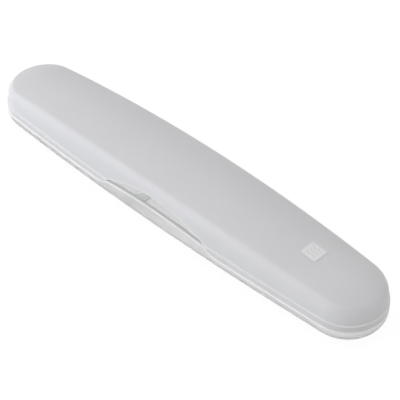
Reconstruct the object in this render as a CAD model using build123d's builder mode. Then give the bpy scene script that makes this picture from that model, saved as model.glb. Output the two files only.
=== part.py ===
from build123d import *
import os
from math import asin, atan2, cos, degrees, radians, sin, sqrt, tan

# A long, shallow clamshell case for an electric toothbrush, in millimetres.
# +X runs along the case, -Y is the side with the thumb notch, +Y the hinge side, +Z is up,
# and the origin is the middle of the flat foot.

# Outside form
case_length = 246.0
case_width = 44.8
case_height = 29.6
end_radius = 19.5
parting_height = 8.9
foot_edge_radius = 8.2
top_edge_radius = 7.7
top_arch_drop = 5.1
lid_draft = 0.7
rim_lap = 0.12
rim_flare = 1.3

# Walls
wall = 2.0
floor_wall = 1.6
top_wall = 1.4
tray_bevel = 3.5

# Rim: the lid's band laps over the base's tongue
band_height = 4.1
band_step = 0.7
band_wall = 0.75
tongue_height = 2.7
rim_gap = 0.25
parting_gap = 0.2
tongue_top_gap = 0.3
edge_softening = 0.3

# Thumb notch in the lid and the pad of the base that stands in it
notch_top = 20.2
notch_radius = 73.0
notch_flare_radius = 9.0
notch_gap = 0.35
pad_top = 13.9
pad_arch_radius = 260.0

# Snap beads on the tongue, one each side of the notch
snap_x = 58.0
snap_length = 12.0
snap_height = 0.8
snap_depth = 0.15

# Hinges
hinge_x = 52.0
knuckle_radius = 2.3
lid_knuckle_length = 8.0
base_knuckle_length = 5.0
knuckle_side_gap = 0.3
knuckle_wall_gap = 0.35
pin_radius = 0.75
pin_press = 0.02
pin_running_gap = 0.08
pin_end_recess = 0.4
pin_chamfer = 0.15
base_web_drop = 5.0
opening_angle = 120.0
stop_gap = 0.12

# Cradle for the brush
handle_radius = 13.5
cradle_gap = 0.4
cradle_rib_wall = 1.6
cradle_rib_drop = 0.6
saddle_x = (-86.0, -18.0)
neck_x = 58.0
neck_radius = 5.0
neck_fork_width = 15.0
neck_fork_rise = 3.5

# Values worked out from the sizes above
end_x = case_length / 2 - end_radius
side_radius = (end_x**2 + (case_width / 2) ** 2 - end_radius**2) / (case_width - 2 * end_radius)
side_centre = side_radius - case_width / 2
tangent_angle = degrees(atan2(side_centre, end_x))
arch_radius = ((case_length / 2) ** 2 + top_arch_drop**2) / (2 * top_arch_drop)
band_top = parting_height + band_height
lid_bottom = parting_height + parting_gap
tongue_top = parting_height + tongue_height
tongue_inset = band_wall + rim_gap
hinge_total = lid_knuckle_length + 2 * (knuckle_side_gap + base_knuckle_length)
brush_axis = floor_wall + cradle_gap + handle_radius

# The rim line is the centre line of the lid's rounded top edge. Along a side it follows the bow of the
# side and the arch of the top at once, as one arc in a leaning plane from mid-length to the corner where
# the round end takes over. Round the end it is an arc about a leaning axis.
rim_end_radius = end_radius - top_edge_radius
rim_draft_inset = tan(radians(lid_draft)) * (case_height - top_edge_radius - lid_bottom)
corner_x = end_x + rim_end_radius * cos(radians(tangent_angle))
corner_y = -rim_end_radius * sin(radians(tangent_angle))
corner_z = case_height - arch_radius + sqrt((arch_radius - top_edge_radius) ** 2 - corner_x**2)
rim_corner = Vector(corner_x, corner_y, corner_z)
rim_middle = Vector(0, top_edge_radius - case_width / 2, case_height - top_edge_radius)
rim_sag = rim_middle - Vector(0, corner_y, corner_z)
bend_radius = (corner_x**2 + rim_sag.length**2) / (2 * rim_sag.length)
bend_centre = rim_middle - rim_sag.normalized() * bend_radius
bend_axis = Axis(bend_centre, rim_sag.cross(Vector(1, 0, 0)))
bend_angle = degrees(asin(corner_x / bend_radius))
corner_tangent = (rim_corner - bend_centre).cross(-bend_axis.direction).normalized()
end_up = corner_tangent.cross(Vector(0, 1, 0)).normalized()
end_inward = end_up.cross(corner_tangent)
end_axis = Axis(rim_corner - end_inward * (corner_y / end_inward.Y), end_up)
end_turn = 2 * (-end_inward).get_angle(Vector(0, 1, 0).cross(end_up))
side_flare = degrees(atan2(end_up.X, end_up.Z)) + lid_draft + rim_flare


def half_width(x):
    """Half the width of the case at x: the side is one long arc."""
    return sqrt(side_radius**2 - x**2) - side_centre


hinge_y = half_width(hinge_x - hinge_total / 2) + knuckle_wall_gap + knuckle_radius
hinge_z = parting_height


def plan(inset):
    """Outline of the case from above, moved in by inset: two bowed sides and two round ends, all tangent."""
    side = side_radius - inset
    end = end_radius - inset
    side_sweep = 180 - 2 * tangent_angle
    with BuildSketch() as outline:
        with BuildLine():
            CenterArc((end_x, 0), end, -tangent_angle, 2 * tangent_angle)
            CenterArc((0, -side_centre), side, tangent_angle, side_sweep)
            CenterArc((-end_x, 0), end, 180 - tangent_angle, 2 * tangent_angle)
            CenterArc((0, side_centre), side, 180 + tangent_angle, side_sweep)
        make_face()
    return outline.sketch


def cap_section(inset, drop):
    """Half the lid's section at mid-length, moved in by inset and down by drop, with its side flared out."""
    edge = top_edge_radius - drop
    edge_y = edge + inset + rim_draft_inset - rim_lap - case_width / 2
    edge_z = case_height - top_edge_radius
    with BuildSketch(Plane.YZ) as section:
        with BuildLine():
            top = Line((wall, edge_z + edge), (edge_y, edge_z + edge))
            rounded_edge = CenterArc((edge_y, edge_z), edge, 90, 90 - side_flare)
            side = PolarLine(rounded_edge @ 1, 2 * case_height, 270 - side_flare)
            foot = Line(side @ 1, (wall, (side @ 1).Y))
            Line(foot @ 1, top @ 0)
        make_face()
    return section.sketch


def cap(inset, drop):
    """A body under the lid's arched top: its section turned along both sides and round both ends."""
    with BuildPart() as side:
        add(cap_section(inset, drop).rotate(bend_axis, -bend_angle))
        revolve(axis=bend_axis, revolution_arc=2 * bend_angle)
        split(bisect_by=Plane.XZ, keep=Keep.TOP)
    with BuildPart() as end:
        revolve(side.faces().sort_by(Axis.X)[-1], axis=end_axis, revolution_arc=end_turn)
    with BuildPart() as body:
        add(side.part)
        mirror(about=Plane.XZ)
        add(end.part)
        mirror(end.part, about=Plane.YZ)
    return body.part


def dome(inset, drop):
    """The lid's domed body from the parting plane up: the drafted outline cut off by the cap."""
    with BuildPart() as body:
        with BuildSketch(Plane.XY.offset(lid_bottom)):
            add(plan(inset))
        extrude(amount=case_height, taper=lid_draft)
        add(cap(inset, drop), mode=Mode.INTERSECT)
    return body.part


def tub(inset, lift):
    """The base's body below the parting plane, moved in by inset and up from the foot by lift."""
    with BuildPart() as body:
        with BuildSketch(Plane.XY.offset(parting_height)):
            add(plan(inset))
        extrude(amount=lift - parting_height)
        fillet(body.faces().sort_by(Axis.Z)[0].edges(), foot_edge_radius - inset)
    return body.part


def tray_space():
    """The hollow of the base, from its floor up through the tongue, with a bevel round the floor."""
    with BuildPart() as space:
        with BuildSketch(Plane.XY.offset(floor_wall)):
            add(plan(wall))
        extrude(amount=pad_top - floor_wall)
        chamfer(space.faces().sort_by(Axis.Z)[0].edges(), tray_bevel)
    return space.part


def ring_part(outer_inset, low, high):
    """A plate with the case's outline moved in by outer_inset, from height low to high."""
    with BuildPart() as plate:
        with BuildSketch(Plane.XY.offset(low)):
            add(plan(outer_inset))
        extrude(amount=high - low)
    return plate.part


def notch_block(gap):
    """The thumb notch as a block through the front wall: a shallow arc with flared feet, moved in by gap."""
    low_line = lid_bottom - gap
    reach = 2 * notch_radius
    with BuildPart() as block:
        with BuildSketch(Plane.XZ):
            with Locations((0, notch_top - notch_radius)):
                Circle(notch_radius - gap)
            with Locations((0, low_line)):
                Rectangle(reach, case_height, align=(Align.CENTER, Align.MIN), mode=Mode.INTERSECT)
                Rectangle(reach, parting_height, align=(Align.CENTER, Align.MAX))
            corners = vertices().filter_by(lambda v: abs(v.Z - low_line) < 0.01 and abs(v.X) < 0.9 * notch_radius)
            fillet(corners, notch_flare_radius + gap)
        extrude(amount=case_width)
    return block.part


def thumb_pad():
    """The base's wall where it stands up into the notch, flush with the wall below, with a gently arched top."""
    with BuildPart() as pad:
        add(ring_part(0, parting_height - 2 * edge_softening, pad_top))
        with BuildSketch(Plane.XZ):
            with Locations((0, pad_top - pad_arch_radius)):
                Circle(pad_arch_radius)
            pad_reach = sqrt(notch_radius**2 - (notch_radius - (notch_top - lid_bottom)) ** 2)
            Rectangle(2 * pad_reach, 4 * case_height, mode=Mode.INTERSECT)
        extrude(amount=case_width, mode=Mode.INTERSECT)
        add(notch_block(notch_gap), mode=Mode.INTERSECT)
    return pad.part


def snap_ridges(depth_inset, height_margin):
    """Two low ridges along the front of the tongue, as blocks out to depth_inset from the outline."""
    middle = parting_height + tongue_height / 2 + parting_gap
    half = snap_height / 2 + height_margin
    with BuildPart() as ridges:
        add(ring_part(depth_inset, middle - half, middle + half))
        with BuildSketch(Plane.XY):
            with Locations((-snap_x, -case_width / 2), (snap_x, -case_width / 2)):
                Rectangle(snap_length + 2 * height_margin, 4 * wall)
        extrude(amount=case_height, mode=Mode.INTERSECT)
    return ridges.part


def base_knuckle(middle_x):
    """A knuckle of the base: a barrel on the hinge axis with a gusset down to the wall."""
    inner_y = half_width(middle_x) - 0.75 * wall
    with BuildPart() as body:
        with BuildSketch(Plane.YZ.offset(middle_x - base_knuckle_length / 2)):
            with Locations((hinge_y, hinge_z)):
                Circle(knuckle_radius)
            with BuildLine():
                Polyline(
                    (hinge_y, hinge_z),
                    (inner_y, hinge_z),
                    (inner_y, hinge_z - base_web_drop),
                    (hinge_y, hinge_z - knuckle_radius),
                    close=True,
                )
            make_face()
        extrude(amount=base_knuckle_length)
    return body.part


def lid_knuckle(middle_x):
    """A knuckle of the lid: a barrel with a web up to the band, and a heel that meets the base's wall when open."""
    inner_y = half_width(middle_x) - band_wall / 2
    wall_distance = hinge_y - half_width(abs(middle_x) - lid_knuckle_length / 2)
    with BuildPart() as body:
        with BuildSketch(Plane.YZ.offset(middle_x - lid_knuckle_length / 2)):
            with Locations((hinge_y, hinge_z)):
                Circle(knuckle_radius)
                Rectangle(
                    wall_distance - stop_gap,
                    knuckle_radius,
                    rotation=opening_angle,
                    align=(Align.MAX, Align.MAX),
                )
            with BuildLine():
                Polyline(
                    (hinge_y, lid_bottom + edge_softening),
                    (inner_y, lid_bottom + edge_softening),
                    (inner_y, band_top - edge_softening),
                    (hinge_y, hinge_z + knuckle_radius),
                    close=True,
                )
            make_face()
        extrude(amount=lid_knuckle_length)
    return body.part


def pin_bore(hinge_middle, radius):
    """The straight bore of one hinge, as a rod right through its knuckles."""
    with BuildPart() as rod:
        with BuildSketch(Plane.YZ.offset(hinge_middle - hinge_total / 2)):
            with Locations((hinge_y, hinge_z)):
                Circle(radius)
        extrude(amount=hinge_total)
    return rod.part


def saddle_rib(x):
    """A low rib across the base, hollowed to the round of the brush's handle."""
    with BuildPart() as rib:
        with BuildSketch(Plane.YZ.offset(x - cradle_rib_wall / 2)):
            Rectangle(case_width, parting_height - cradle_rib_drop, align=(Align.CENTER, Align.MIN))
            with Locations((0, brush_axis)):
                Circle(handle_radius + cradle_gap, mode=Mode.SUBTRACT)
        extrude(amount=cradle_rib_wall)
        add(tub(wall / 2, floor_wall / 2), mode=Mode.INTERSECT)
    return rib.part


def neck_fork():
    """A narrow upright fork that holds the neck of the brush at the height of the handle's axis."""
    with BuildPart() as fork:
        with BuildSketch(Plane.YZ.offset(neck_x - cradle_rib_wall / 2)):
            with Locations((0, floor_wall / 2)):
                Rectangle(
                    neck_fork_width,
                    brush_axis + neck_fork_rise - floor_wall / 2,
                    align=(Align.CENTER, Align.MIN),
                )
            with Locations((0, brush_axis)):
                Circle(neck_radius, mode=Mode.SUBTRACT)
                Rectangle(2 * neck_radius, case_height, align=(Align.CENTER, Align.MIN), mode=Mode.SUBTRACT)
        extrude(amount=cradle_rib_wall)
    return fork.part


os.makedirs("parts", exist_ok=True)

# Base: a tub with a full-round foot edge, a tongue inside the lid's band, the thumb pad,
# the outer knuckles of both hinges and the cradle moulded to its floor
with BuildPart() as base_shell:
    add(tub(0, 0))
    chamfer(base_shell.edges().group_by(Axis.Z)[-1], edge_softening)
    add(ring_part(tongue_inset, parting_height, tongue_top))
    chamfer(base_shell.edges().group_by(Axis.Z)[-1], edge_softening)
    add(thumb_pad())
    add(snap_ridges(tongue_inset - snap_depth, 0))
    for side in (-1, 1):
        for end in (-1, 1):
            reach = lid_knuckle_length / 2 + knuckle_side_gap + base_knuckle_length / 2
            add(base_knuckle(side * hinge_x + end * reach))
        add(pin_bore(side * hinge_x, pin_radius - pin_press), mode=Mode.SUBTRACT)
    add(tray_space(), mode=Mode.SUBTRACT)
    for x in saddle_x:
        add(saddle_rib(x))
    add(neck_fork())
base_shell.part.label = "base_shell"
export_step(base_shell.part, "parts/base_shell.step")

# Lid: the domed cover with its band, hollowed, with the thumb notch cut up through the front
with BuildPart() as lid_shell:
    add(ring_part(0, lid_bottom, band_top))
    chamfer(lid_shell.edges().group_by(Axis.Z)[0] + lid_shell.edges().group_by(Axis.Z)[-1], edge_softening)
    add(dome(band_step, 0))
    for side in (-1, 1):
        add(lid_knuckle(side * hinge_x))
        add(pin_bore(side * hinge_x, pin_radius + pin_running_gap), mode=Mode.SUBTRACT)
    add(dome(wall, top_wall), mode=Mode.SUBTRACT)
    add(ring_part(band_wall, lid_bottom, tongue_top + tongue_top_gap), mode=Mode.SUBTRACT)
    add(snap_ridges(band_wall - snap_depth, snap_depth), mode=Mode.SUBTRACT)
    add(notch_block(0), mode=Mode.SUBTRACT)
lid_shell.part.label = "lid_shell"
export_step(lid_shell.part, "parts/lid_shell.step")

# Hinge pins: one plain steel wire pin through each hinge, pressed in the base's knuckles
for side, name in ((-1, "hinge_pin_left"), (1, "hinge_pin_right")):
    pin_length = hinge_total - 2 * pin_end_recess
    with BuildPart() as hinge_pin:
        with BuildSketch(Plane.YZ.offset(side * hinge_x - pin_length / 2)):
            with Locations((hinge_y, hinge_z)):
                Circle(pin_radius)
        extrude(amount=pin_length)
        chamfer(hinge_pin.edges().filter_by(GeomType.CIRCLE), pin_chamfer)
    hinge_pin.part.label = name
    export_step(hinge_pin.part, "parts/" + name + ".step")
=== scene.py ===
from math import acos, atan2, cos, pi, radians, sin, sqrt, tan

import bmesh
import bpy
import numpy as np
from mathutils import Matrix, Vector


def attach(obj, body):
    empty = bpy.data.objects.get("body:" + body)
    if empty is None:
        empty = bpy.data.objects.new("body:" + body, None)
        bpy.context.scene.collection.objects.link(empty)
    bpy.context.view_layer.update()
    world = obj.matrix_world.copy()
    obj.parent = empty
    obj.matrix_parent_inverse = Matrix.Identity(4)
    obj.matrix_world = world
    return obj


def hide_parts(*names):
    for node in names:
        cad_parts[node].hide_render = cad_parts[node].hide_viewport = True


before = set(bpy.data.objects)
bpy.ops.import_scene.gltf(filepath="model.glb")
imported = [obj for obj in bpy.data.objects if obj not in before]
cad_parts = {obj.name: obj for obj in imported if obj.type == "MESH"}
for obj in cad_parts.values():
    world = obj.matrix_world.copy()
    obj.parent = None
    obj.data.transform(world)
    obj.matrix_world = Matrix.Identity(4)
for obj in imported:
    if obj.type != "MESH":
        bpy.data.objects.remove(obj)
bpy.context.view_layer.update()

# Sizes in millimetres, as the case is drawn. +X runs along the case, -Y is the side with the
# thumb notch, +Y the hinge side, +Z is up, and the foot stands at z = 0.
MM = 0.001

# Outside form
case_length = 246.0
case_width = 44.8
case_height = 29.6
end_radius = 19.5
parting_height = 8.9
foot_edge_radius = 8.2
top_edge_radius = 7.7
crease_radius = 3.0
crease_turn = radians(51)
side_fullness = 8.1
top_arch_drop = 6.5
top_crown = 1.49
lid_draft = radians(0.7)

# Walls and rim
wall = 2.0
floor_wall = 1.6
top_wall = 1.4
floor_corner_radius = 6.0
band_top = 13.0
band_step = 0.7
band_wall = 0.75
lid_bottom = 9.1
tongue_top = 11.6
tongue_inset = 1.0
band_recess_top = 11.9
edge_softening = 0.3
rim_rounding = 0.34
inner_rounding = 0.18
ledge_fillet = 0.15

# Thumb notch and the pad below it
notch_top = 20.2
notch_radius = 73.0
notch_flare_radius = 9.0
notch_gap = 0.35
pad_top = 13.9
pad_arch_radius = 260.0
pad_corner_x = 33.1  # where the pad's arch meets the notch's edge

# Snap beads
snap_x = 58.0
snap_length = 12.0
snap_height = 0.8
snap_depth = 0.15
snap_middle = 10.45
snap_fade = 1.2  # length over which an end of a bead runs out

# Hinges
hinge_x = 52.0
hinge_y = 24.561875
hinge_z = 8.9
knuckle_radius = 2.3
lid_knuckle_length = 8.0
base_knuckle_length = 5.0
knuckle_side_gap = 0.3
pin_radius = 0.75
pin_fit = 0.004
running_radius = 0.83
bore_chamfer = 0.1
base_web_drop = 5.0
web_root = 0.75  # share of the tub's wall that a base knuckle's web goes into
opening_angle = radians(120)
stop_gap = 0.12

# Cradle
brush_axis = 15.5
saddle_radius = 13.9
saddle_x = (-86.0, -18.0)
saddle_top = 8.3
rib_wall = 1.6
neck_x = 58.0
neck_radius = 5.0
neck_fork_width = 15.0
neck_fork_top = 19.0
rib_softening = 0.25
sharpest_mitre = 0.4  # keeps the softening of a rib's corner from running far

# Printed square on the lid
print_x = 82.4
print_side = 9.2
print_lift = 0.03
print_root = 0.1

# Heights that part the painted glow of the narrow edges from the blasted faces: of the ledge below
# the band's top, of the rim above the lid's bottom, and of the base below the parting line
bright_ledge = 0.45
bright_rim = 0.75
bright_parting = 0.55

# Heights that keep a row of a surface clear of the form next to it: the end of the outer dome
# above the rim's rounding and above the band, the face above that rounding, a row of the band
# above the lid's bottom, the end of the inner dome above the recess and above the rim, the end of
# the tub's wall below its top, and the hair between the ledge and the band's softened edge
dome_over_rim = 0.9
dome_over_band = 0.4
face_over_rim = 0.35
band_row = 1.2
hollow_over_recess = 0.5
hollow_over_rim = 0.4
tub_below_top = 0.7
ledge_step = 0.001

# How finely the surfaces are drawn: columns along a side and round an end, the half gap of the
# pair of columns at each corner of the notch, the rows of a dome over its roof, its crease and
# its side, directions round a knuckle and the angle beside each of its corners, and directions
# and rings of the square
side_columns = 171
end_columns = 57
corner_gap = 0.05
outer_dome_rows = (14, 9, 13)
inner_dome_rows = (10, 7, 6)
knuckle_columns = 120
knuckle_corner_gap = 0.01
square_columns = 144
square_rings = 12

# What counts as one point and as no edge at all when a mesh is joined up, and how sharp an edge
# stays smooth
merge_distance = 0.0015
sliver_length = 0.0005
smooth_angle = radians(40)

# Worked out from the sizes above
end_x = case_length / 2 - end_radius
side_radius = (end_x**2 + (case_width / 2) ** 2 - end_radius**2) / (case_width - 2 * end_radius)
side_centre = side_radius - case_width / 2
tangent_angle = atan2(side_centre, end_x)
tangent_x = side_radius * cos(tangent_angle)
arch_radius = ((case_length / 2) ** 2 + top_arch_drop**2) / (2 * top_arch_drop)
crown_reach = case_width / 2 - band_step - top_edge_radius
notch_centre = notch_top - notch_radius
flare_middle = lid_bottom + notch_flare_radius
flare_x = sqrt((notch_radius + notch_flare_radius) ** 2 - (flare_middle - notch_centre) ** 2)
snap_levels = snap_middle + snap_height * np.linspace(-1, 1, 5)


# The three finishes of a shell, which are its material slots in this order: blasted outside,
# polished inside, and the narrow edges, painted an opaque white as a painted glow that stands for
# the light gathered in the wall coming out there
OUTSIDE, INSIDE, PAINTED_GLOW = 0, 1, 2


# ---------------------------------------------------------------- shapes

def half_width(x):
    """Half the width of the case at x: the side is one arc, so its height above the chord."""
    return np.sqrt(side_radius**2 - np.square(x)) - side_centre


def notch_line(x, gap):
    """Height of the notch's edge at x, moved in by gap: a wide arc whose feet run out in two
    smaller arcs that are tangent to it and to the level rim."""
    x = np.abs(x)
    touch = flare_x * (notch_radius - gap) / (notch_radius + notch_flare_radius)
    arc = notch_centre + np.sqrt(np.maximum((notch_radius - gap) ** 2 - x**2, 0))
    rest = (notch_flare_radius + gap) ** 2 - (flare_x - x) ** 2
    flare = flare_middle - np.sqrt(np.maximum(rest, 0))
    return np.where(x < touch, arc, np.where(x < flare_x, flare, lid_bottom - gap))


def notch_x(z):
    """Where the notch's wide arc stands at height z: half the chord of its circle there."""
    return sqrt(notch_radius**2 - (z - notch_centre) ** 2)


def outline_columns():
    """Columns round the case, anticlockwise from above. Each has its point on the outline, the
    outward normal there and the point of the spine that its surface closes on. Along a side
    the point lies on the side's long arc at x; round an end it turns about the end's centre."""
    over_band = notch_x(band_top - rim_rounding)
    over_recess = notch_x(band_recess_top - inner_rounding)
    corners = (over_band, over_recess, pad_corner_x, flare_x)
    fine = np.ravel([[x - corner_gap, x + corner_gap] for x in corners])
    even = np.linspace(-tangent_x, tangent_x, side_columns)
    x = np.unique(np.concatenate([even, fine, -fine]))
    lean = np.sqrt(side_radius**2 - x**2) / side_radius
    turn = np.linspace(-tangent_angle, tangent_angle, end_columns)[1:-1]
    front = np.column_stack([x, -half_width(x)])
    front_out = np.column_stack([x / side_radius, -lean])
    right_out = np.column_stack([np.cos(turn), np.sin(turn)])
    right = right_out * end_radius + (end_x, 0)
    spine = np.column_stack([x * end_x / tangent_x, 0 * x])
    right_spine = 0 * right + (end_x, 0)
    half_turn = np.array([-1, -1])
    return {
        "edge": np.concatenate([front, right, front * half_turn, right * half_turn]),
        "out": np.concatenate([front_out, right_out, front_out * half_turn, right_out * half_turn]),
        "spine": np.concatenate([spine, right_spine, spine * half_turn, right_spine * half_turn]),
        "front": np.arange(2 * (len(x) + len(turn))) < len(x),
    }


def at(columns, inset, z):
    """Points of the outline moved in along its normals by inset, at height z."""
    inset = np.broadcast_to(inset, len(columns["edge"]))
    xy = columns["edge"] - columns["out"] * inset[:, None]
    return np.column_stack([xy, np.broadcast_to(z, len(xy))])


def from_spine(xy):
    """Offset of points from the nearest point of the straight spine between the ends' centres."""
    past = xy[:, 0] - np.clip(xy[:, 0], -end_x, end_x)
    return np.column_stack([past, xy[:, 1]])


def roof(xy):
    """Height of the lid's top: an arc along the case less the crown, a parabola of the distance
    from the spine."""
    arch = arch_radius - np.sqrt(arch_radius**2 - xy[:, 0] ** 2)
    return case_height - arch - top_crown * (from_spine(xy) ** 2).sum(1) / crown_reach**2


def roof_fall(xy, out):
    """Slope of the lid's top, downwards along out: the roof's gradient times the direction."""
    along = xy[:, 0] / np.sqrt(arch_radius**2 - xy[:, 0] ** 2)
    crown = 2 * top_crown * (from_spine(xy) * out).sum(1) / crown_reach**2
    return along * out[:, 0] + crown


def dome_wall(z, inset):
    """Inset of a drafted wall of the lid at height z: the inset at the lid's bottom, and above
    that the height times the tangent of the draft."""
    return inset + tan(lid_draft) * (z - lid_bottom)


def side_inset(z, inset, side, full, lower):
    """Inset of the lid's side at height z: the drafted wall, and above it the arc of the radius
    side about the height lower, whose deepest point has the inset full less side."""
    arc = full - np.sqrt(np.maximum(side**2 - (z - lower) ** 2, 0))
    return np.where(z > lower + side * sin(lid_draft), arc, dome_wall(z, inset))


def shoulder(columns, inset, drop, crease, side):
    """The lid's shoulder in the plane of each column: an arc of the radius crease, tangent to the
    roof, turns down to crease_turn, and one of the radius side goes on from it and is tangent to
    the drafted wall. Their centres are found by going round these conditions a few times.
    Returns the contour where the roof ends, its slope there, the inset and height of the upper
    centre, and the inset and height of the lower one."""
    fall = np.zeros(len(columns["edge"]))
    upper = np.full(len(fall), case_height - drop - crease)
    for _ in range(8):
        lower = upper - (side - crease) * cos(crease_turn)
        full = dome_wall(lower, inset) + side / cos(lid_draft)
        near = full - (side - crease) * sin(crease_turn)
        contour = at(columns, near - crease * np.sin(fall), 0)[:, :2]
        fall = np.arctan(roof_fall(contour, columns["out"]))
        upper = roof(contour) - drop - crease * np.cos(fall)
    return contour, fall, near, upper, full, upper - (side - crease) * cos(crease_turn)


def dome_rows(columns, drop, crease, side, bend, counts, lowest=0):
    """Rows of the lid's dome from its spine over the roof and both arcs of its shoulder, to the
    wall or to the height lowest where that comes first. On the roof each row is a share of the
    way from the spine to the contour, and on an arc a share of its turn."""
    contour, fall, near, upper, full, lower = bend
    rows = []
    for share in np.linspace(1, 0, counts[0])[:-1]:
        xy = contour + (columns["spine"] - contour) * share
        rows.append(np.column_stack([xy, roof(xy) - drop]))
    for share in np.linspace(0, 1, counts[1]):
        angle = fall + (crease_turn - fall) * share
        rows.append(at(columns, near - crease * np.sin(angle), upper + crease * np.cos(angle)))
    last = np.minimum(pi / 2 - lid_draft, np.arccos(np.clip((lowest - lower) / side, -1, 1)))
    for share in np.linspace(0, 1, counts[2])[1:]:
        angle = crease_turn + (last - crease_turn) * share
        rows.append(at(columns, full - side * np.sin(angle), lower + side * np.cos(angle)))
    return rows


def quarter(count):
    """Cosine and sine pairs over a quarter turn."""
    angle = np.linspace(0, pi / 2, count)
    return list(zip(np.cos(angle), np.sin(angle)))


def snap_swell(columns, z):
    """Share of the snap beads' depth at each column and height z: a cosine bell in height, cut
    off smoothly at both ends of the bead's length."""
    x = np.abs(columns["edge"][:, 0])
    length = np.clip((snap_length / 2 - np.abs(x - snap_x)) / snap_fade, 0, 1)
    height = np.clip(1 - np.abs(z - snap_middle) / snap_height, 0, 1)
    return columns["front"] * np.sin(length * pi / 2) * np.sin(height * pi / 2) ** 2


def lid_rows(columns):
    """The lid as rows round the case, from the spine of its top outside, down over the shoulder,
    wall, ledge and band, round the rim or the notch's edge, and back up inside to the spine.
    Each row carries the finish of the surface that follows it, one for all or one a column."""
    x = columns["edge"][:, 0]
    rim = np.where(columns["front"], notch_line(x, 0), lid_bottom)
    low = rim + rim_rounding
    stop = np.maximum(low + dome_over_rim, band_top + dome_over_band)
    radii = (crease_radius, side_fullness)
    bend = shoulder(columns, band_step, 0, *radii)
    full, lower = bend[4:]
    dome = dome_rows(columns, 0, *radii, bend, outer_dome_rows, stop)
    rows = [(row, OUTSIDE) for row in dome]
    foot = dome[-1][:, 2]

    # Height and inset over the ledge: a fillet in its corner, then the band's softened edge,
    # a hair lower so that the heights never meet.
    corner = dome_wall(band_top + ledge_fillet, band_step)
    ledge = [
        (band_top + ledge_fillet * (1 - s), corner - ledge_fillet * (1 - c))
        for c, s in quarter(4)
    ]
    ledge += [
        (band_top - ledge_step - edge_softening * (1 - s), edge_softening * (1 - c))
        for c, s in quarter(5)[::-1]
    ]
    ledge_z, ledge_inset = np.array(ledge[::-1]).T

    def outer(z):
        high = side_inset(z, band_step, side_fullness, full, lower)
        return np.where(z > band_top + ledge_fillet, high, np.interp(z, ledge_z, ledge_inset))

    for share in np.linspace(0, 1, 7)[1:]:
        z = foot + (stop - foot) * share
        rows.append((at(columns, outer(z), z), OUTSIDE))
    # The ledge, the band's lowest strip and the rim's rounding are painted glow: an opaque white
    # that stands for light coming out of the wall.
    band = [(z, PAINTED_GLOW) for z, _ in ledge]
    band += [(band_top - bright_ledge, OUTSIDE), (lid_bottom + band_row, OUTSIDE)]
    band += [(lid_bottom + bright_rim, PAINTED_GLOW)]
    for z, finish in band:
        z = np.maximum(z, low + face_over_rim)
        rows.append((at(columns, outer(z), z), finish))
    edge = outer(low)
    for c, s in quarter(6):
        inset = edge + rim_rounding * (1 - c)
        rows.append((at(columns, inset, rim + rim_rounding * (1 - s)), PAINTED_GLOW))

    core = top_edge_radius - top_wall
    bend = shoulder(columns, wall, top_wall, core, core)

    def inner(z):
        return side_inset(z, wall, core, *bend[4:])

    turn = rim + inner_rounding
    narrow = turn < band_recess_top
    edge = np.where(narrow, band_wall, inner(turn))
    for c, s in quarter(4)[::-1]:
        inset = edge - inner_rounding * (1 - c)
        rows.append((at(columns, inset, rim + inner_rounding * (1 - s)), INSIDE))
    for z in (*snap_levels, band_recess_top):
        dent = snap_depth * snap_swell(columns, z)
        z = np.maximum(z, turn)
        rows.append((at(columns, np.where(narrow, band_wall - dent, inner(z)), z), INSIDE))
    z = np.maximum(band_recess_top, turn)
    rows.append((at(columns, inner(z), z), INSIDE))
    start = np.maximum(band_recess_top + hollow_over_recess, turn + hollow_over_rim)
    hollow = dome_rows(columns, top_wall, core, core, bend, inner_dome_rows, start)[::-1]
    for share in np.linspace(0, 1, 6)[:-1]:
        z = start + (hollow[0][:, 2] - start) * share
        rows.append((at(columns, inner(z), z), INSIDE))
    rows += [(row, INSIDE) for row in hollow]
    return rows


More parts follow.
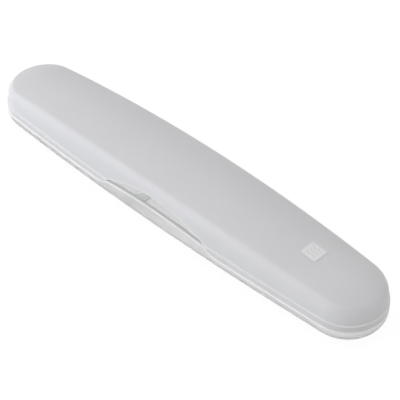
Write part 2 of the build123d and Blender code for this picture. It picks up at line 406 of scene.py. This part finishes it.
def base_rows(columns):
    """The base as rows round the case, from the spine of its floor, up the inside, over the
    tongue, out over the rim or the thumb pad, down outside and in along the foot."""
    x = columns["edge"][:, 0]
    arch = pad_top - pad_arch_radius + np.sqrt(pad_arch_radius**2 - x**2)
    pad = np.where(columns["front"], np.minimum(arch, notch_line(x, notch_gap)), 0)
    rim = np.maximum(pad, parting_height)
    top = np.maximum(rim, tongue_top)
    rows = []
    corner = at(columns, wall + floor_corner_radius, floor_wall)
    for share in np.linspace(1, 0, 10)[:-1]:
        xy = corner[:, :2] + (columns["spine"] - corner[:, :2]) * share
        rows.append((np.column_stack([xy, corner[:, 2]]), INSIDE))
    for c, s in quarter(10)[::-1]:
        z = floor_wall + floor_corner_radius * (1 - s)
        rows.append((at(columns, wall + floor_corner_radius * (1 - c), z), INSIDE))
    start = floor_wall + floor_corner_radius
    for share in (0.35, 0.7, 1.0):
        z = start + (top - tub_below_top - start) * share
        rows.append((at(columns, wall, z), INSIDE))
    # The tongue's top and the rim are painted glow, an opaque white that stands for light coming
    # out of the wall.
    for c, s in quarter(4):
        z = top - edge_softening * (1 - s)
        rows.append((at(columns, wall - edge_softening * (1 - c), z), PAINTED_GLOW))
    for c, s in quarter(4)[::-1]:
        z = np.maximum(top - edge_softening * (1 - s), rim)
        rows.append((at(columns, tongue_inset + edge_softening * (1 - c), z), PAINTED_GLOW))
    # Where the thumb pad stands above a row, its face is painted glow as well, which also lightens
    # the shade that the lid's edge casts on it.
    for z in (*snap_levels[::-1], parting_height):
        inset = tongue_inset - snap_depth * snap_swell(columns, z)
        finish = np.where(rim > z, PAINTED_GLOW, OUTSIDE)
        rows.append((at(columns, inset, np.maximum(z, rim)), finish))
    for c, s in quarter(6)[::-1]:
        z = rim - edge_softening * (1 - s)
        rows.append((at(columns, edge_softening * (1 - c), z), PAINTED_GLOW))
    for share in (0.0, 0.3, 0.6, 1.0):
        z = rim - bright_parting + (foot_edge_radius - rim + bright_parting) * share
        rows.append((at(columns, 0, z), OUTSIDE))
    for c, s in quarter(17)[1:]:
        rows.append((at(columns, foot_edge_radius * (1 - c), foot_edge_radius * (1 - s)), OUTSIDE))
    corner = rows[-1][0]
    for share in np.linspace(0, 1, 6)[1:]:
        xy = corner[:, :2] + (columns["spine"] - corner[:, :2]) * share
        rows.append((np.column_stack([xy, corner[:, 2]]), OUTSIDE))
    return rows


def piece(name, points, faces, finish=None):
    """A closed, smooth-shaded mesh from points in millimetres, its coinciding points merged.
    finish gives the number of each face's material slot."""
    mesh = bpy.data.meshes.new(name)
    mesh.from_pydata((np.asarray(points) * MM).tolist(), [], faces)
    if finish is not None:
        mesh.polygons.foreach_set("material_index", np.asarray(finish, np.int32))
    work = bmesh.new()
    work.from_mesh(mesh)
    bmesh.ops.remove_doubles(work, verts=work.verts, dist=merge_distance * MM)
    bmesh.ops.dissolve_degenerate(work, edges=work.edges, dist=sliver_length * MM)
    work.to_mesh(mesh)
    work.free()
    mesh.shade_smooth()
    mesh.set_sharp_from_angle(angle=smooth_angle)
    thing = bpy.data.objects.new(name, mesh)
    bpy.context.scene.collection.objects.link(thing)
    return thing


def skin(name, rows):
    """Rows of points round the case joined row to row into one closed surface. Going along the
    rows and round the columns turns every face outwards."""
    count = len(rows[0][0])
    points = np.concatenate([row for row, finish in rows])
    index = np.arange(len(points)).reshape(len(rows), count)
    near, far = index[:-1], index[1:]
    quads = np.stack([near, far, np.roll(far, -1, 1), np.roll(near, -1, 1)], -1).reshape(-1, 4)
    finish = [np.broadcast_to(finish, count) for row, finish in rows[:-1]]
    return piece(name, points, quads.tolist(), np.concatenate(finish))


def ray_reach(corners, angle):
    """Distance from the origin to the far side of a convex polygon with a corner at the origin,
    in each direction of angle: the nearest crossing with an edge that doesn't touch the origin,
    or nothing where the ray misses it."""
    corners = np.asarray(corners, float)
    direction = np.column_stack([np.cos(angle), np.sin(angle)])
    reach = np.zeros(len(angle))
    for start, stop in zip(corners, np.roll(corners, -1, 0)):
        side = stop - start
        turn = direction[:, 0] * side[1] - direction[:, 1] * side[0]
        safe = np.where(np.abs(turn) < 1e-9, 1e-9, turn)
        along = (start[0] * side[1] - start[1] * side[0]) / safe
        place = (start[0] * direction[:, 1] - start[1] * direction[:, 0]) / safe
        hit = (np.abs(turn) > 1e-9) & (place >= -1e-6) & (place <= 1 + 1e-6) & (along > 0)
        reach = np.maximum(reach, np.where(hit, along, 0))
    return reach


def knuckle(name, middle_x, length, bore, webs):
    """A hinge knuckle about the pin: its outline is given by distance against angle, the barrel's
    radius or the reach of a web where that is more, and is carried from end to end with softened
    edges, then back through the bore."""
    even = np.linspace(0, 2 * pi, knuckle_columns, endpoint=False)
    corners = np.array([atan2(z, y) for web in webs for y, z in web if y or z])
    beside = [corners + gap for gap in (0, -knuckle_corner_gap, knuckle_corner_gap)]
    angle = np.unique(np.round(np.concatenate([even, *beside]) % (2 * pi), 6))
    reach = np.full(len(angle), knuckle_radius)
    for web in webs:
        reach = np.maximum(reach, ray_reach(web, angle))
    soft = rib_softening
    low, high = middle_x - length / 2, middle_x + length / 2
    path = [(high - soft * (1 - s), soft * (1 - c)) for c, s in quarter(4)[::-1]]
    path += [(low + soft * (1 - s), soft * (1 - c)) for c, s in quarter(4)]
    mouth = bore + bore_chamfer + 0 * reach
    rows = [(high - bore_chamfer, bore + 0 * reach), (high, mouth)]
    rows += [(x, reach - cut) for x, cut in path]
    rows += [(low, mouth), (low + bore_chamfer, bore + 0 * reach)]
    points = []
    for x, distance in rows:
        y = hinge_y + distance * np.cos(angle)
        z = hinge_z + distance * np.sin(angle)
        points.append(np.column_stack([x + 0 * angle, y, z]))
    index = np.arange(len(rows) * len(angle)).reshape(len(rows), len(angle))
    near, far = index, np.roll(index, -1, 0)
    quads = np.stack([near, far, np.roll(far, -1, 1), np.roll(near, -1, 1)], -1).reshape(-1, 4)
    return piece(name, np.concatenate(points), quads.tolist())


def plate(name, middle_x, outline):
    """An upright rib across the case: a closed outline in y and z, anticlockwise seen from +X,
    carried through its thickness with its edges softened by moving the outline in along the
    mean of its neighbouring sides' normals."""
    outline = np.asarray(outline, float)
    side = np.roll(outline, -1, 0) - outline
    out = np.column_stack([side[:, 1], -side[:, 0]]) / np.linalg.norm(side, axis=1)[:, None]
    mean = out + np.roll(out, 1, 0)
    mean = mean / np.maximum((mean * out).sum(1), sharpest_mitre)[:, None]
    half, soft = rib_wall / 2, rib_softening
    path = [(-half + soft * (1 - s), soft * (1 - c)) for c, s in quarter(4)[::-1]]
    path += [(half - soft * (1 - s), soft * (1 - c)) for c, s in quarter(4)]
    points = []
    for x, cut in path:
        ring = outline - mean * cut
        points.append(np.column_stack([middle_x + x + 0 * ring[:, 0], ring]))
    index = np.arange(len(path) * len(outline)).reshape(len(path), len(outline))
    near, far = index[:-1], index[1:]
    quads = np.stack([near, np.roll(near, -1, 1), np.roll(far, -1, 1), far], -1).reshape(-1, 4)
    faces = quads.tolist() + [index[0][::-1].tolist(), index[-1].tolist()]
    return piece(name, np.concatenate(points), faces)


def saddle_outline(x):
    """Outline of a saddle rib: down inside the tub's wall and foot, up the other side, and along
    the top with the round of the brush's handle hollowed out of it."""
    edge = half_width(x) - tongue_inset
    foot = foot_edge_radius - tongue_inset
    low = floor_wall / 2
    right = [(edge - foot * (1 - c), low + foot * (1 - s)) for c, s in quarter(9)[::-1]]
    reach = acos((brush_axis - saddle_top) / saddle_radius)
    turn = np.linspace(reach, -reach, 33)
    hollow = [(saddle_radius * sin(t), brush_axis - saddle_radius * cos(t)) for t in turn]
    left = [(-y, z) for y, z in right[::-1]]
    return right + [(edge, saddle_top)] + hollow + [(-edge, saddle_top)] + left


def fork_outline():
    """Outline of the neck fork: an upright with a round-bottomed slot open at the top."""
    half, low = neck_fork_width / 2, floor_wall / 2
    turn = np.linspace(pi / 2, -pi / 2, 25)
    slot = [(neck_radius * sin(t), brush_axis - neck_radius * cos(t)) for t in turn]
    prong = [(half, low), (half, neck_fork_top), (neck_radius, neck_fork_top)]
    return prong + slot + [(-neck_radius, neck_fork_top), (-half, neck_fork_top), (-half, low)]


def printed_square(name):
    """A thin layer of ink on the lid: concentric rings of a square, whose reach in each direction
    is one over the larger of its cosine and sine, lying on the roof's surface."""
    angle = np.linspace(0, 2 * pi, square_columns, endpoint=False)
    form = 1 / np.maximum(np.abs(np.cos(angle)), np.abs(np.sin(angle)))
    rings = [(share, print_lift) for share in np.linspace(0, 1, square_rings)]
    rings += [(1, -print_root), (0, -print_root)]
    points = []
    for share, lift in rings:
        reach = share * form * print_side / 2
        xy = np.column_stack([print_x + reach * np.cos(angle), reach * np.sin(angle)])
        points.append(np.column_stack([xy, roof(xy) + lift]))
    index = np.arange(len(points) * len(angle)).reshape(len(points), len(angle))
    near, far = index[:-1], index[1:]
    quads = np.stack([near, far, np.roll(far, -1, 1), np.roll(near, -1, 1)], -1).reshape(-1, 4)
    return piece(name, np.concatenate(points), quads.tolist())


# ---------------------------------------------------------------- materials

# The kinds of node used most
MATH, MIX, NOISE = "ShaderNodeMath", "ShaderNodeMix", "ShaderNodeTexNoise"


def colour(code):
    """Linear colour of an sRGB hex value."""
    value = np.array([int(code[i:i + 2], 16) for i in (0, 2, 4)]) / 255
    linear = np.where(value <= 0.04045, value / 12.92, ((value + 0.055) / 1.055) ** 2.4)
    return (*linear.tolist(), 1.0)


def add(tree, kind, inputs=(), **settings):
    """A node with its settings, its inputs given as values or as sockets to link."""
    node = tree.nodes.new(kind)
    for name, value in settings.items():
        setattr(node, name, value)
    for name, value in dict(inputs).items():
        if isinstance(value, bpy.types.NodeSocket):
            tree.links.new(value, node.inputs[name])
        else:
            node.inputs[name].default_value = value
    return node


def new_material(name):
    """An empty material: its node tree and its principled shader."""
    material = bpy.data.materials.new(name)
    material.use_nodes = True
    tree = material.node_tree
    return material, tree, tree.nodes["Principled BSDF"]


def polypropylene(name, tones, roughness, clear, grain, milky=0.0, ior=1.49):
    """Natural polypropylene, injection moulded: milky and see-through. tones are the two colours
    that it drifts between, clear the share of light that goes straight on into the wall, grain
    the depth of the blasted texture, which makes it satin, milky the share of the rest that
    scatters inside the wall and comes out some 2 mm away, and ior how much it bends light."""
    material, tree, shader = new_material(name)
    place = add(tree, "ShaderNodeTexCoord").outputs["Object"]
    # Slow clouds about 60 mm across: the wall's thickness and the melt's flow vary a little.
    cloud = add(tree, NOISE, {"Vector": place, "Scale": 1 / 0.06, "Detail": 2.0}).outputs["Fac"]
    first, second = (colour(tone) for tone in tones)
    tint = add(tree, MIX, {0: cloud, 6: first, 7: second}, data_type="RGBA")
    # The grain is about 0.1 mm; it is drawn at 0.7 mm, the finest that shows.
    fine = add(tree, NOISE, {"Vector": place, "Scale": 1 / 0.0007, "Detail": 2.0}).outputs["Fac"]
    bump = add(tree, "ShaderNodeBump", {"Height": fine, "Strength": grain, "Distance": 0.00003})
    dull, smooth = roughness + 0.03, roughness - 0.03
    satin = add(tree, "ShaderNodeMapRange", {"Value": fine, "To Min": smooth, "To Max": dull})
    tree.links.new(tint.outputs[2], shader.inputs["Base Color"])
    tree.links.new(satin.outputs[0], shader.inputs["Roughness"])
    tree.links.new(bump.outputs[0], shader.inputs["Normal"])
    shader.inputs["IOR"].default_value = ior
    shader.inputs["Transmission Weight"].default_value = clear
    shader.inputs["Subsurface Weight"].default_value = milky
    shader.inputs["Subsurface Radius"].default_value = (1.0, 1.0, 1.0)
    shader.inputs["Subsurface Scale"].default_value = 0.002
    return material


def drawn_steel(name):
    """Stainless spring wire, drawn through a die: bright, with fine lines along the wire."""
    material, tree, shader = new_material(name)
    place = add(tree, "ShaderNodeTexCoord").outputs["Object"]
    # Die lines 0.08 mm apart and some 6 mm long.
    squeeze = (1 / 0.006, 1 / 0.00008, 1 / 0.00008)
    long = add(tree, "ShaderNodeMapping", {"Vector": place, "Scale": squeeze}).outputs[0]
    lines = add(tree, NOISE, {"Vector": long, "Scale": 1.0, "Detail": 3.0}).outputs["Fac"]
    first, second = colour("A9ABAE"), colour("C9CBCD")
    shade = add(tree, MIX, {0: lines, 6: first, 7: second}, data_type="RGBA")
    rough = add(tree, "ShaderNodeMapRange", {"Value": lines, "To Min": 0.22, "To Max": 0.38})
    bump = add(tree, "ShaderNodeBump", {"Height": lines, "Strength": 0.15, "Distance": 0.00001})
    tree.links.new(shade.outputs[2], shader.inputs["Base Color"])
    tree.links.new(rough.outputs[0], shader.inputs["Roughness"])
    tree.links.new(bump.outputs[0], shader.inputs["Normal"])
    shader.inputs["Metallic"].default_value = 1.0
    return material


def printed_ink(name):
    """White pad-printing ink: a thin matt film, a little lighter than the plastic, with three
    plain waves left in a greyer tone."""
    wave_length, wave_height, wave_gap, line_width, field_side = 3.1, 0.42, 2.1, 0.44, 6.2
    material, tree, shader = new_material(name)
    place = add(tree, "ShaderNodeTexCoord").outputs["Object"]
    # Millimetres from the middle of the square.
    shift = {"Vector": place, "Location": (-print_x, 0, 0), "Scale": (1 / MM, 1 / MM, 1 / MM)}
    local = add(tree, "ShaderNodeMapping", shift).outputs[0]
    axes = add(tree, "ShaderNodeSeparateXYZ", {0: local})
    x, y = axes.outputs["X"], axes.outputs["Y"]
    swing = add(tree, MATH, {0: x, 1: 2 * pi / wave_length}, operation="MULTIPLY").outputs[0]
    wave = add(tree, MATH, {0: swing}, operation="SINE").outputs[0]
    rise = add(tree, MATH, {0: wave, 1: -wave_height, 2: y}, operation="MULTIPLY_ADD").outputs[0]
    near = add(tree, MATH, {0: rise, 1: wave_gap / 2}, operation="PINGPONG").outputs[0]
    line = add(tree, MATH, {0: near, 1: line_width / 2}, operation="LESS_THAN").outputs[0]
    # The waves stop inside a smaller square.
    side = add(tree, MATH, {0: x}, operation="ABSOLUTE").outputs[0]
    height = add(tree, MATH, {0: y}, operation="ABSOLUTE").outputs[0]
    far = add(tree, MATH, {0: side, 1: height}, operation="MAXIMUM").outputs[0]
    within = add(tree, MATH, {0: far, 1: field_side / 2}, operation="LESS_THAN").outputs[0]
    mark = add(tree, MATH, {0: line, 1: within}, operation="MULTIPLY").outputs[0]
    first, second = colour("E2E3E5"), colour("CFD0D2")
    tint = add(tree, MIX, {0: mark, 6: first, 7: second}, data_type="RGBA")
    # The film's orange peel, 0.3 mm across.
    peel = add(tree, NOISE, {"Vector": place, "Scale": 1 / 0.0003, "Detail": 1.0}).outputs["Fac"]
    bump = add(tree, "ShaderNodeBump", {"Height": peel, "Strength": 0.1, "Distance": 0.00001})
    tree.links.new(tint.outputs[2], shader.inputs["Base Color"])
    tree.links.new(bump.outputs[0], shader.inputs["Normal"])
    shader.inputs["Roughness"].default_value = 0.6
    shader.inputs["IOR"].default_value = 1.48
    return material


# Blasted tool steel leaves the outside satin. The lid's milky wall scatters most of the light
# that meets it; the base, with the light floor close behind it, looks clearer.
lid_outside = polypropylene(
    "frosted moulded polypropylene, lid",
    ("D6D7DA", "DADBDD"), roughness=0.55, clear=0.15, grain=0.25, milky=1.0,
)
base_outside = polypropylene(
    "frosted moulded polypropylene, base",
    ("F8F9F9", "FCFCFC"), roughness=0.45, clear=0.8, grain=0.25, milky=0.5,
)
# The cores are polished, so the inside is smooth and nearly clear.
inside = polypropylene(
    "polished moulded polypropylene, inside",
    ("FBFBFC", "FEFEFE"), roughness=0.16, clear=1.0, grain=0.05,
)
# The ribs are thin and hazy: they blur what is behind them and hardly bend it. Their index is
# lower than the plastic's own, which would draw a dark edge round each of them.
ribs = polypropylene(
    "hazy moulded polypropylene, ribs",
    ("F8F9F9", "FCFCFC"), roughness=0.35, clear=0.94, grain=0.1, ior=1.13,
)
# The rims are painted an opaque white, with no light let through: a painted glow that stands for
# the light carried along the walls coming out at the rims.
lid_rims_painted_glow = polypropylene(
    "moulded polypropylene, lid rims with painted glow",
    ("DCDDDF", "E0E1E2"), roughness=0.3, clear=0.0, grain=0.1,
)
base_rims_painted_glow = polypropylene(
    "moulded polypropylene, base rims with painted glow",
    ("EAEBEC", "EEEFF0"), roughness=0.3, clear=0.0, grain=0.1,
)
# In the order of the slots OUTSIDE, INSIDE and the rims' painted glow.
lid_plastic = (lid_outside, inside, lid_rims_painted_glow)
base_plastic = (base_outside, inside, base_rims_painted_glow)
steel = drawn_steel("drawn stainless wire")
ink = printed_ink("pad-printed white ink")


# ---------------------------------------------------------------- the case

def dress(thing, material, body, replaced=()):
    """Gives a piece its material or materials in its slots and its body, and hides the CAD nodes
    that it stands for."""
    for each in material if isinstance(material, tuple) else (material,):
        thing.data.materials.append(each)
    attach(thing, body)
    if replaced:
        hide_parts(*replaced)


columns = outline_columns()
dress(skin("lid_cover", lid_rows(columns)), lid_plastic, "lid", ["lid_shell"])
dress(skin("base_tub", base_rows(columns)), base_plastic, "base", ["base_shell"])

for number, x in enumerate(saddle_x, 1):
    dress(plate("saddle_rib_%d" % number, x, saddle_outline(x)), ribs, "base")
dress(plate("neck_fork", neck_x, fork_outline()), ribs, "base")

# Each hinge has a base knuckle on both sides of a lid knuckle. Webs join them to the walls, and
# a heel on the lid's knuckle, drawn at the opening angle, meets the base's wall when it is open.
for side_name, side in (("left", -1), ("right", 1)):
    for end_name, end in (("outer", side), ("inner", -side)):
        reach = lid_knuckle_length / 2 + knuckle_side_gap + base_knuckle_length / 2
        x = side * hinge_x + end * reach
        inner = float(half_width(x)) - web_root * wall - hinge_y
        web = [(0, 0), (inner, 0), (inner, -base_web_drop), (0, -knuckle_radius)]
        name = "base_knuckle_%s_%s" % (side_name, end_name)
        thing = knuckle(name, x, base_knuckle_length, pin_radius + pin_fit, [web])
        dress(thing, base_outside, "base")
    x = side * hinge_x
    inner = float(half_width(x)) - band_wall / 2 - hinge_y
    web = [
        (0, 0),
        (inner, lid_bottom + edge_softening - hinge_z),
        (inner, band_top - edge_softening - hinge_z),
        (0, knuckle_radius),
    ]
    clear = hinge_y - float(half_width(abs(x) - lid_knuckle_length / 2)) - stop_gap
    c, s = cos(opening_angle), sin(opening_angle)
    heel = np.array([(0, 0), (-clear, 0), (-clear, -knuckle_radius), (0, -knuckle_radius)])
    heel = (heel @ np.array([[c, -s], [s, c]]).T).tolist()
    name = "lid_knuckle_" + side_name
    thing = knuckle(name, x, lid_knuckle_length, running_radius, [web, heel])
    dress(thing, lid_outside, "lid")

dress(printed_square("printed_square"), ink, "lid")

for name in ("hinge_pin_left", "hinge_pin_right"):
    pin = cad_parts[name]
    pin.data.materials.clear()
    pin.data.materials.append(steel)


# ---------------------------------------------------------------- stage, light and camera

def seen(tree):
    """One where a ray comes from the camera, a reflection or a see-through surface."""
    path = add(tree, "ShaderNodeLightPath")
    direct, mirrored = path.outputs["Is Camera Ray"], path.outputs["Is Glossy Ray"]
    through = path.outputs["Is Transmission Ray"]
    either = add(tree, MATH, {0: direct, 1: mirrored}, operation="MAXIMUM").outputs[0]
    return add(tree, MATH, {0: either, 1: through}, operation="MAXIMUM").outputs[0]


# A hair below the foot, so that the two never share a plane.
floor_reach, floor_height = 3.0, -0.00005
floor_mesh = bpy.data.meshes.new("studio_floor")
signs = ((-1, -1), (1, -1), (1, 1), (-1, 1))
corners = [(x * floor_reach, y * floor_reach, floor_height) for x, y in signs]
floor_mesh.from_pydata(corners, [], [(0, 1, 2, 3)])
floor = bpy.data.objects.new("studio_floor", floor_mesh)
bpy.context.scene.collection.objects.link(floor)
paper = bpy.data.materials.new("white paper sweep")
paper.use_nodes = True
tree = paper.node_tree
tree.nodes.clear()
# Where it is looked at it is mostly plain white, and the rest takes the case's soft shadow. The
# white's strength makes up for that matt rest, which the room lights a little less than fully.
white, white_share, white_strength = (1, 1, 1, 1), 0.88, 1.05
matt = add(tree, "ShaderNodeBsdfDiffuse", {"Color": colour("F4F4F4")}).outputs[0]
plain = add(tree, "ShaderNodeEmission", {"Color": white, "Strength": white_strength}).outputs[0]
share = add(tree, MATH, {0: seen(tree), 1: white_share}, operation="MULTIPLY").outputs[0]
mixed = add(tree, "ShaderNodeMixShader", {0: share, 1: matt, 2: plain}).outputs[0]
add(tree, "ShaderNodeOutputMaterial", {"Surface": mixed})
floor_mesh.materials.append(paper)

world = bpy.data.worlds.new("studio")
bpy.context.scene.world = world
world.use_nodes = True
tree = world.node_tree
tree.nodes.clear()
# The room's walls are brighter on the side of the lamp, which is at -X; what is looked at
# directly or in the plastic is plain white.
lamp_side, far_side = 0.95, 0.67
around = add(tree, "ShaderNodeTexCoord").outputs["Generated"]
along = add(tree, "ShaderNodeSeparateXYZ", {0: around}).outputs["X"]
spread = {"Value": along, "From Min": -1.0, "To Min": lamp_side, "To Max": far_side}
level = add(tree, "ShaderNodeMapRange", spread).outputs[0]
walls = {"Color": colour("FFFDFC"), "Strength": level}
room = add(tree, "ShaderNodeBackground", walls).outputs[0]
plain = add(tree, "ShaderNodeBackground", {"Color": white, "Strength": 1.0}).outputs[0]
mixed = add(tree, "ShaderNodeMixShader", {0: seen(tree), 1: room, 2: plain}).outputs[0]
add(tree, "ShaderNodeOutputWorld", {"Surface": mixed})


def soft_box(name, place, target, width, height, power, tint):
    """A soft light at place, turned to target; both places and both sizes are in metres."""
    lamp = bpy.data.lights.new(name, "AREA")
    lamp.shape = "RECTANGLE"
    lamp.size, lamp.size_y = width, height
    lamp.energy = power
    lamp.color = colour(tint)[:3]
    thing = bpy.data.objects.new(name, lamp)
    away = (Vector(place) - Vector(target)).normalized()
    turned = away.to_track_quat("Z", "Y").to_matrix().to_4x4()
    thing.matrix_world = Matrix.Translation(place) @ turned
    bpy.context.scene.collection.objects.link(thing)


# Low at the front left: it lights the front and leaves the top and the right end to the room.
soft_box(
    "key_light", place=(-0.55, -0.6, 0.22), target=(-0.06, 0, 0.02),
    width=1.0, height=0.4, power=3.45, tint="F8FAFF",
)

# The camera aims at a point at half the case's height, moved right and down in the picture, and
# stands off it by distance; all in millimetres.
azimuth, elevation, distance = radians(44.657), radians(41.875), 794.0
aim_right, aim_down, aim_height = 6.9, 6.394, 14.8
back = Vector((sin(azimuth) * cos(elevation), -cos(azimuth) * cos(elevation), sin(elevation)))
right = Vector((cos(azimuth), sin(azimuth), 0))
up = back.cross(right)
aim = right * aim_right - up * aim_down + Vector((0, 0, aim_height))
lens = bpy.data.cameras.new("camera")
lens.lens = 147.17
lens.sensor_width = 36.0
lens.clip_start = 0.01
camera = bpy.data.objects.new("camera", lens)
turned = Matrix((right, up, back)).transposed().to_4x4()
camera.matrix_world = Matrix.Translation((aim + back * distance) * MM) @ turned
bpy.context.scene.collection.objects.link(camera)
bpy.context.scene.camera = camera

bpy.context.scene.view_settings.view_transform = "Standard"
